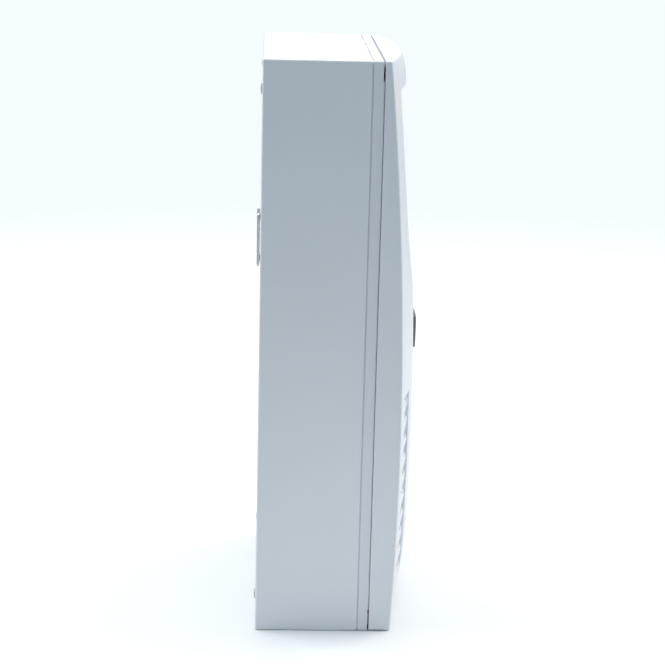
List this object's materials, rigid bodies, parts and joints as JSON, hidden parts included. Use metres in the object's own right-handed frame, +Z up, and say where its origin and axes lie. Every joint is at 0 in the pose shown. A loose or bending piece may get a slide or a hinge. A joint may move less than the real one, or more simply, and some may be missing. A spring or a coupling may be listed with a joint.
{
  "type": "wall thermostat",
  "caption": "Tall surface-mounted wall thermostat: a sharp-edged box, a frame with the electronics, and a crowned louvred cover with a display and one key.",
  "frame": {"origin": "middle of the overall footprint at the height of the box's underside", "axes": "+Z up, -Y out of the front cover towards the room, +X to the right as seen from the front"},
  "size_m": [0.07, 0.0436, 0.15],
  "materials": {
    "shell": "fine matte moulded",
    "frame": "fine matte moulded",
    "key": "satin",
    "lens": "gloss",
    "steel": "plated satin",
    "rubber": "matte",
    "laminate": "satin lacquer",
    "terminal": "satin",
    "black": "satin",
    "blue": "satin",
    "white": "satin",
    "lcd_glass": "polished",
    "clear_glass": "polished"
  },
  "bodies": {
    "housing": {"back_box": "shell", "chassis_frame": "frame", "hanger_plate": "steel", "cable_grommet": "rubber", "power_board": "laminate", "display_board": "laminate", "terminal_block": "terminal", "transformer": "black", "capacitor": "black", "microcontroller": "black", "board_socket": "black", "board_plug": "black", "key_switch": "black", "fuse_holder": "steel", "fuse": "clear_glass", "varistor": "blue", "temperature_sensor": "clear_glass", "lcd_frame": "white", "light_guide": "white", "lcd_panel": "lcd_glass", "hanger_rivet_1": "steel", "hanger_rivet_2": "steel", "chassis_screw_1": "steel", "chassis_screw_2": "steel", "chassis_screw_3": "steel", "chassis_screw_4": "steel", "power_board_screw_1": "steel", "power_board_screw_2": "steel", "power_board_screw_3": "steel", "power_board_screw_4": "steel", "display_board_screw_1": "steel", "display_board_screw_2": "steel", "display_board_screw_3": "steel", "display_board_screw_4": "steel", "terminal_screw_1": "steel", "terminal_screw_2": "steel", "terminal_screw_3": "steel", "terminal_screw_4": "steel", "terminal_screw_5": "steel", "terminal_screw_6": "steel", "terminal_screw_7": "steel", "terminal_screw_8": "steel", "rear_pad_1": "rubber", "rear_pad_2": "rubber", "rear_pad_3": "rubber", "rear_pad_4": "rubber", "zebra_strip_1": "rubber", "zebra_strip_2": "rubber", "relay_1": "blue", "relay_2": "blue", "relay_3": "blue"},
    "cover": {"front_cover": "shell", "display_lens": "lens"},
    "key_cap": {"key": "key"},
    "plunger": {"switch_plunger": "black"}
  },
  "joints": [
    {"name": "cover_swing", "type": "hinge", "parent": "housing", "child": "cover", "pos_m": [0, -0.00904, 0.15], "axis": [-1, 0, 0], "range_deg": [0, 25]},
    {"name": "key_press", "type": "slide", "parent": "cover", "child": "key_cap", "axis": [0, 1, 0], "range_m": [0, 0.0008], "stiffness_N_per_m": 1500},
    {"name": "plunger_press", "type": "slide", "parent": "housing", "child": "plunger", "axis": [0, 1, 0], "range_m": [0, 0.0008]}
  ],
  "couplings": [
    {"joint": "plunger_press", "follows": "key_press", "ratio": 1}
  ]
}
